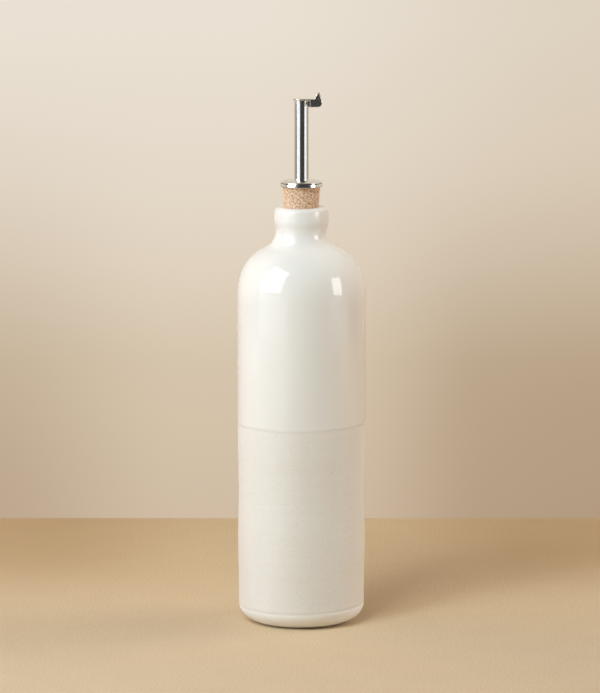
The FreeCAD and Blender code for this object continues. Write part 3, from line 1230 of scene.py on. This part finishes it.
@dataclass
class CheekWeb:
    """Thin plates that close the windows in the flap's cheeks, but for a small hole in each.

    Corners and hole are (x, height) from the hinge pin's axis.
    """

    corners: tuple[Point, ...] = ((1.42, 2.60), (4.42, 2.60), (3.14, 6.00))
    rounding: float = 0.3
    hole: Point = (2.55, 3.35)
    hole_radius: float = 0.40
    inside: float = 4.85
    outside: float = 5.2

    def build(self) -> list[bpy.types.Object]:
        """Builds the web of each cheek from four loops: two outer and two round the hole.

        Each point of the hole's circle lies in the direction of its outer point.

        Returns:
            The two webs' objects.
        """
        low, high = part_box("hinge_pin")
        pin = np.array([low[0] + high[0], low[2] + high[2]]) / 2 / MM
        outer = softened(list(self.corners), [self.rounding] * 3, 16)
        toward = outer - np.array(self.hole)
        toward = toward / np.linalg.norm(toward, axis=1, keepdims=True)
        inner = np.array(self.hole) + self.hole_radius * toward
        flat = np.stack([outer, outer, inner, inner]) + pin
        webs = []
        for name, side in (("cheek_web_near", -1.0), ("cheek_web_far", 1.0)):
            depth = side * np.array([self.outside, self.inside, self.inside, self.outside])
            across = np.broadcast_to(depth[:, None], flat.shape[:2])
            grid = np.stack([flat[..., 0], across, flat[..., 1]], axis=-1)
            web = turned_object(name, grid[::-1] if side < 0 else grid, ring=True)
            web.data.polygons.foreach_set("use_smooth", np.zeros(len(web.data.polygons), dtype=bool))
            SteelFinish(name, Polish.ALONG, rough=0.16).recipe().wear(web)
            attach(web, "flap")
            webs.append(web)
        return webs


# ---------------------------------------------------------------------------
# The studio
# ---------------------------------------------------------------------------

def standing(bearing: np.ndarray | float, distance: float,
             height: np.ndarray | float) -> np.ndarray:
    """Places round the bottle: bearing b, distance d and height z give (d sin b, -d cos b, z).

    Args:
        bearing: bearing from -Y towards +X, in degrees.
        distance: distance from the axis.
        height: height over the floor.

    Returns:
        Array whose last axis holds x, y and z.
    """
    turn = np.radians(bearing)
    parts = np.broadcast_arrays(distance * np.sin(turn), -distance * np.cos(turn), height)
    return np.stack(parts, axis=-1)


@dataclass(frozen=True)
class Softbox:
    """A rectangular lamp standing round the bottle, whose light is diffuse."""

    name: str
    bearing: float
    distance: float
    height: float
    width: float
    tall: float
    radiance: float
    colour: Colour = (1.0, 1.0, 1.0)
    aim: float = 0.12

    def build(self) -> bpy.types.Object:
        """Places the lamp; its power is radiance times pi times its area.

        It faces the axis, at the height of its aim.

        Returns:
            The lamp's object.
        """
        lamp = bpy.data.lights.new(self.name, "AREA")
        lamp.shape = "RECTANGLE"
        lamp.size, lamp.size_y = self.width, self.tall
        lamp.energy = self.radiance * math.pi * self.width * self.tall
        lamp.color = self.colour
        holder = bpy.data.objects.new(self.name, lamp)
        holder.location = standing(self.bearing, self.distance, self.height)
        slope = math.atan2(self.height - self.aim, self.distance)
        holder.rotation_euler = (math.pi / 2 - slope, 0.0, math.radians(self.bearing))
        holder.visible_camera = False
        holder.visible_glossy = False
        bpy.context.scene.collection.objects.link(holder)
        return holder


def glowing_card(name: str, points: np.ndarray, faces: np.ndarray, colour: Colour,
                 strength: float) -> bpy.types.Object:
    """A card that only reflections show: it neither lights the bottle nor hides anything.

    Args:
        name: the card's name.
        points: corners in metres, one row each.
        faces: four point numbers for each face.
        colour: colour of its glow.
        strength: strength of its glow.

    Returns:
        The card's object.
    """
    mesh = bpy.data.meshes.new(name)
    mesh.from_pydata(points.tolist(), [], faces.tolist())
    card = bpy.data.objects.new(name, mesh)
    bpy.context.scene.collection.objects.link(card)
    material = bpy.data.materials.new(name)
    material.use_nodes = True
    material.node_tree.nodes.clear()
    made = Wiring(material.node_tree)
    glow = made.light("ShaderNodeEmission", colour, strength)
    made.feed(glow, made.node("ShaderNodeOutputMaterial").inputs["Surface"])
    mesh.materials.append(material)
    card.visible_camera = False
    card.visible_diffuse = False
    card.visible_shadow = False
    card.visible_transmission = False
    return card


@dataclass(frozen=True)
class Panel:
    """Front of a softbox, as reflections show it: its four corners' bearings and heights."""

    name: str
    corners: tuple[Point, ...]
    strength: float
    colour: Colour = (1.0, 1.0, 1.0)
    distance: float = 1.2

    def build(self) -> bpy.types.Object:
        """Joins the standing corners by one face.

        Returns:
            The panel's object.
        """
        bearing, height = np.array(self.corners).T
        points = standing(bearing, self.distance, height)
        return glowing_card(self.name, points, np.arange(4)[None, :], self.colour, self.strength)


@dataclass(frozen=True)
class Card:
    """An upright curved card round the bottle that only reflections show."""

    name: str
    start: float
    end: float
    distance: float
    low: float
    high: float
    colour: Colour
    strength: float
    columns: int = 25

    def build(self) -> bpy.types.Object:
        """Bends the card round the axis, from one bearing to another.

        Returns:
            The card's object.
        """
        bearing = np.linspace(self.start, self.end, self.columns)[None, :]
        height = np.array([[self.low], [self.high]])
        points = standing(bearing, self.distance, height).reshape(-1, 3)
        open_faces = grid_faces(2, self.columns, ring=False)[:-1]
        return glowing_card(self.name, points, open_faces, self.colour, self.strength)


@dataclass(frozen=True)
class PaintedShade:
    """A darker stretch of the floor's far zone.

    It sets in from the first to the second of its bearings, as x over distance, with the
    weights of its ends there. Where it has nearness, it also grows with one over distance.
    Each is painted shade; the one low on the right is the bottle's painted shadow.
    weights of its ends there. Where it has nearness, it also grows with one over distance.
    """

    colour: Colour
    bearing: tuple[float, float]
    ends: tuple[float, float] = (0.0, 1.0)
    nearness: tuple[float, float] | None = None


@dataclass
class Studio:
    """Flat floor with a near and a far zone, soft lamps, cards for reflections, the camera.

    Lengths are metres and angles degrees.
    """

    eye: tuple[float, float, float] = (-0.00085, -2.430, 0.534)
    look_down: float = 8.55
    lens: float = 210.39
    floor_near: Colour = (0.700, 0.565, 0.390)
    floor_far: Colour = (0.79, 0.615, 0.380)
    # painted shade of the floor towards both sides near the fold
    floor_side_painted_shade: Colour = (0.76, 0.70, 0.63)
    fibre: Colour = (0.50, 0.34, 0.18)
    fibre_share: float = 0.48
    fibre_depth: float = 0.0002
    mottle: Colour = (0.45, 0.33, 0.2)
    mottle_share: float = 0.06
    # The far zone's painted light: pale far off and darker towards the fold, as the light on a
    # backdrop falls off
    wall_painted_light: tuple[tuple[float, Colour], ...] = (
        (0.04, (0.823, 0.753, 0.658)),
        (0.34, (0.783, 0.694, 0.584)),
        (0.50, (0.745, 0.645, 0.520)),
        (0.685, (0.672, 0.558, 0.415)),
        (0.99, (0.631, 0.503, 0.371)),
    )
    wall_nearness: tuple[float, float] = (0.12, 0.365)
    # Painted shades: the right side darker, the bottle's painted shadow low on the right, the left
    # edge darker
    wall_painted_shades: tuple[PaintedShade, ...] = (
        PaintedShade((0.885, 0.85, 0.795), (-0.02, 0.08)),
        PaintedShade((0.805, 0.765, 0.735), (0.010, 0.047), nearness=(0.175, 0.32)),
        PaintedShade((0.80, 0.76, 0.72), (-0.082, -0.028), ends=(1.0, 0.0), nearness=(0.13, 0.36)),
    )
    fold: float = 0.323
    fold_softness: float = 0.002
    half_width: float = 14.0
    surroundings: Colour = (0.80, 0.72, 0.61)
    fill: Colour = (1.0, 0.78, 0.52)
    fill_strength: float = 0.08
    mirrored_front: Colour = (0.24, 0.22, 0.19)
    mirrored_back: Colour = (0.84, 0.745, 0.62)
    lamps: tuple[Softbox, ...] = (
        Softbox("lamp_key", -28.0, 0.92, 1.04, 0.55, 0.55, 9.9, (0.87, 0.975, 1.03)),
        Softbox("lamp_left_front", -45.0, 1.18, 0.67, 0.55, 0.55, 4.6, (0.90, 1.02, 1.07)),
        Softbox("lamp_left", -90.0, 1.22, 0.31, 0.55, 0.36, 4.7, (0.90, 1.0, 1.30)),
        Softbox("lamp_right", 90.0, 1.22, 0.40, 0.55, 0.55, 3.6, (1.04, 1.0, 1.04)),
        Softbox("lamp_back_right", 110.0, 1.18, 0.67, 0.55, 0.55, 5.3, (1.04, 0.92, 0.78)),
        Softbox("lamp_back_left", -120.0, 1.18, 0.67, 0.55, 0.55, 3.2, (1.05, 0.62, 0.28)),
        Softbox("lamp_top", -10.0, 0.35, 1.45, 0.40, 0.40, 3.1, (1.0, 0.66, 0.42)),
    )
    panels: tuple[Panel, ...] = (
        Panel("panel_left", ((-80.6, 0.318), (-38.4, 0.376), (-28.9, 1.49), (-81.8, 1.90)), 5.6),
        Panel("panel_right", ((58.9, 0.300), (76.5, 0.237), (81.8, 0.755), (60.3, 0.824)), 6.6),
        Panel("panel_slit", ((70.3, 0.0), (72.3, 0.0), (71.8, 0.05), (70.8, 0.05)), 2.4),
        Panel("panel_top", ((-3.5, 1.60), (16.4, 1.60), (16.4, 1.63), (-3.5, 1.63)), 2.0),
    )
    cards: tuple[Card, ...] = (
        Card("card_left", -80, -21, 1.25, 0.0, 0.31, (0.97, 1.02, 1.06), 1.30),
        Card("card_right", 50, 92, 1.25, 0.0, 0.235, (0.96, 1.01, 1.05), 1.25),
        Card("card_dark", -23, 50, 0.75, 0.0, 1.1, (1.0, 1.0, 0.96), 0.062),
    )

    def near_tone(self, made: Recipe, across: bpy.types.NodeSocket,
                  along: bpy.types.NodeSocket, fibres: bpy.types.NodeSocket) -> bpy.types.NodeSocket:
        """Colour of the near zone: a painted shade deepens it at both sides of its far end, with
        fibres in it.

        Args:
            made: the floor's recipe.
            across: place along x.
            along: place along y.
            fibres: the noise of the fibres.

        Returns:
            The output socket of the colour.
        """
        colour = made.blend(made.spread(along, -0.2, self.fold), self.floor_near, self.floor_far)
        # Painted shade: the floor darkens towards both sides near its far end, as the light falls off
        # there
        aside = made.sums("ABSOLUTE", made.sums("ADD", across, 0.005), 0.0)
        edge = made.sums("MULTIPLY", made.spread(aside, 0.05, 0.17), made.spread(along, 0.03, 0.22))
        colour = made.blend(edge, colour, self.floor_side_painted_shade, "MULTIPLY")
        fibre = made.spread(fibres, 0.38, 0.60, self.fibre_share, 0.0)
        colour = made.blend(fibre, colour, self.fibre)
        mottle = made.noise(made.places, 30.0, 3.0)
        mottle = made.spread(mottle, 0.35, 0.65, self.mottle_share, 0.0)
        return made.blend(mottle, colour, self.mottle)

    def far_painted_light(self, made: Recipe, across: bpy.types.NodeSocket,
                 along: bpy.types.NodeSocket) -> bpy.types.NodeSocket:
        """Painted light of the far zone: it follows one over the distance in front, darker nearer the
        fold, and its painted shades.

        Args:
            made: the floor's recipe.
            across: place along x.
            along: place along y.

        Returns:
            The output socket of the colour.
        """
        distance = made.sums("MAXIMUM", made.sums("ADD", along, -self.eye[1]), 1.0)
        nearness = made.sums("DIVIDE", 1.0, distance)
        bearing = made.sums("MULTIPLY", across, nearness)
        colour = made.ramp(made.level(nearness, *self.wall_nearness), list(self.wall_painted_light))
        # Each shade is painted shade, one of them the bottle's painted shadow
        for shade in self.wall_painted_shades:
            share = made.spread(bearing, *shade.bearing, *shade.ends)
            if shade.nearness is not None:
                share = made.sums("MULTIPLY", made.spread(nearness, *shade.nearness), share)
            colour = made.blend(share, colour, shade.colour, "MULTIPLY")
        return colour

    def build_floor(self) -> bpy.types.Object:
        """One flat floor with two colour zones, parted by a straight line behind the bottle.

        The far zone glows with its own colour whatever light falls on it: the painted light and shade
        of a lit backdrop.

        Returns:
            The floor's object.
        """
        reach = self.half_width
        corners = [(-reach, -reach, 0), (reach, -reach, 0), (reach, reach, 0), (-reach, reach, 0)]
        mesh = bpy.data.meshes.new("floor")
        mesh.from_pydata(corners, [], [(0, 1, 2, 3)])
        floor = bpy.data.objects.new("floor", mesh)
        bpy.context.scene.collection.objects.link(floor)
        made = Recipe("floor")
        split = made.node("ShaderNodeSeparateXYZ")
        made.feed(made.places, split.inputs[0])
        across, along = split.outputs["X"], split.outputs["Y"]
        fibres = made.noise(made.places, 700.0, 5.0, 0.8)
        made.feed(self.near_tone(made, across, along, fibres), made.shader.inputs["Base Color"])
        made.shader.inputs["Roughness"].default_value = 0.9
        made.feed(made.relief(fibres, self.fibre_depth), made.shader.inputs["Normal"])

        # The far zone glows with painted light; the lamps do not shade it
        glow = made.node("ShaderNodeEmission")
        made.feed(self.far_painted_light(made, across, along), glow.inputs["Color"])
        glow.inputs["Strength"].default_value = 1.0
        beyond = made.level(along, self.fold - self.fold_softness, self.fold + self.fold_softness)
        whole = made.choice(beyond, made.shader.outputs[0], glow.outputs[0])
        made.feed(whole, made.tree.nodes["Material Output"].inputs["Surface"])
        made.wear(floor)
        return floor

    def build_world(self) -> bpy.types.World:
        """Even, slightly warm surroundings: one tone gives light and another is seen.

        Reflections show a dark tone in front of the bottle and a pale one behind it.

        Returns:
            The world.
        """
        world = bpy.data.worlds.new("studio")
        bpy.context.scene.world = world
        world.use_nodes = True
        world.node_tree.nodes.clear()
        made = Wiring(world.node_tree)
        seen = made.light("ShaderNodeBackground", self.surroundings, 1.0)
        fill = made.light("ShaderNodeBackground", self.fill, self.fill_strength)
        front = made.light("ShaderNodeBackground", self.mirrored_front, 1.0)
        back = made.light("ShaderNodeBackground", self.mirrored_back, 1.0)
        heading = made.node("ShaderNodeSeparateXYZ")
        made.feed(made.node("ShaderNodeTexCoord").outputs["Generated"], heading.inputs[0])
        mirrored = made.choice(made.level(heading.outputs["Y"], -0.15, 0.25), front, back)
        ray = made.node("ShaderNodeLightPath")
        unseen = made.choice(ray.outputs["Is Glossy Ray"], fill, mirrored)
        whole = made.choice(ray.outputs["Is Camera Ray"], unseen, seen)
        made.feed(whole, made.node("ShaderNodeOutputWorld").inputs["Surface"])
        return world

    def build_camera(self) -> bpy.types.Object:
        """Long-lens camera in front of the bottle, a little above it, looking down.

        Returns:
            The camera's object.
        """
        data = bpy.data.cameras.new("camera")
        data.lens = self.lens
        data.sensor_width = 36.0
        data.clip_end = 60.0
        camera = bpy.data.objects.new("camera", data)
        camera.location = self.eye
        camera.rotation_euler = (math.radians(90 - self.look_down), 0.0, 0.0)
        bpy.context.scene.collection.objects.link(camera)
        bpy.context.scene.camera = camera
        return camera

    def build(self) -> None:
        """Builds the whole studio, and sets how its light is shown."""
        self.build_camera()
        self.build_floor()
        self.build_world()
        for part in (*self.lamps, *self.panels, *self.cards):
            part.build()
        bpy.context.scene.view_settings.view_transform = "Standard"


def report(name: str, pieces: list[bpy.types.Object]) -> None:
    """Logs the faces of a finished group of pieces."""
    faces = sum(len(piece.data.polygons) for piece in pieces)
    log.info("%s: %d pieces, %d faces", name, len(pieces), faces)


def main() -> None:
    """Builds the studio, then the bottle, cork, spout and hinge, and notes their size."""
    logging.basicConfig(level=logging.INFO, format="%(name)s %(message)s")
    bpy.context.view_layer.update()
    Studio().build()
    report("bottle", [Bottle().build()])
    report("cork", [Cork().build()])
    spout = Spout()
    report("spout", [spout.build_collar(), spout.build_tube()])
    report("hinge", Hinge().dress() + CheekWeb().build())


if __name__ == "__main__":
    main()
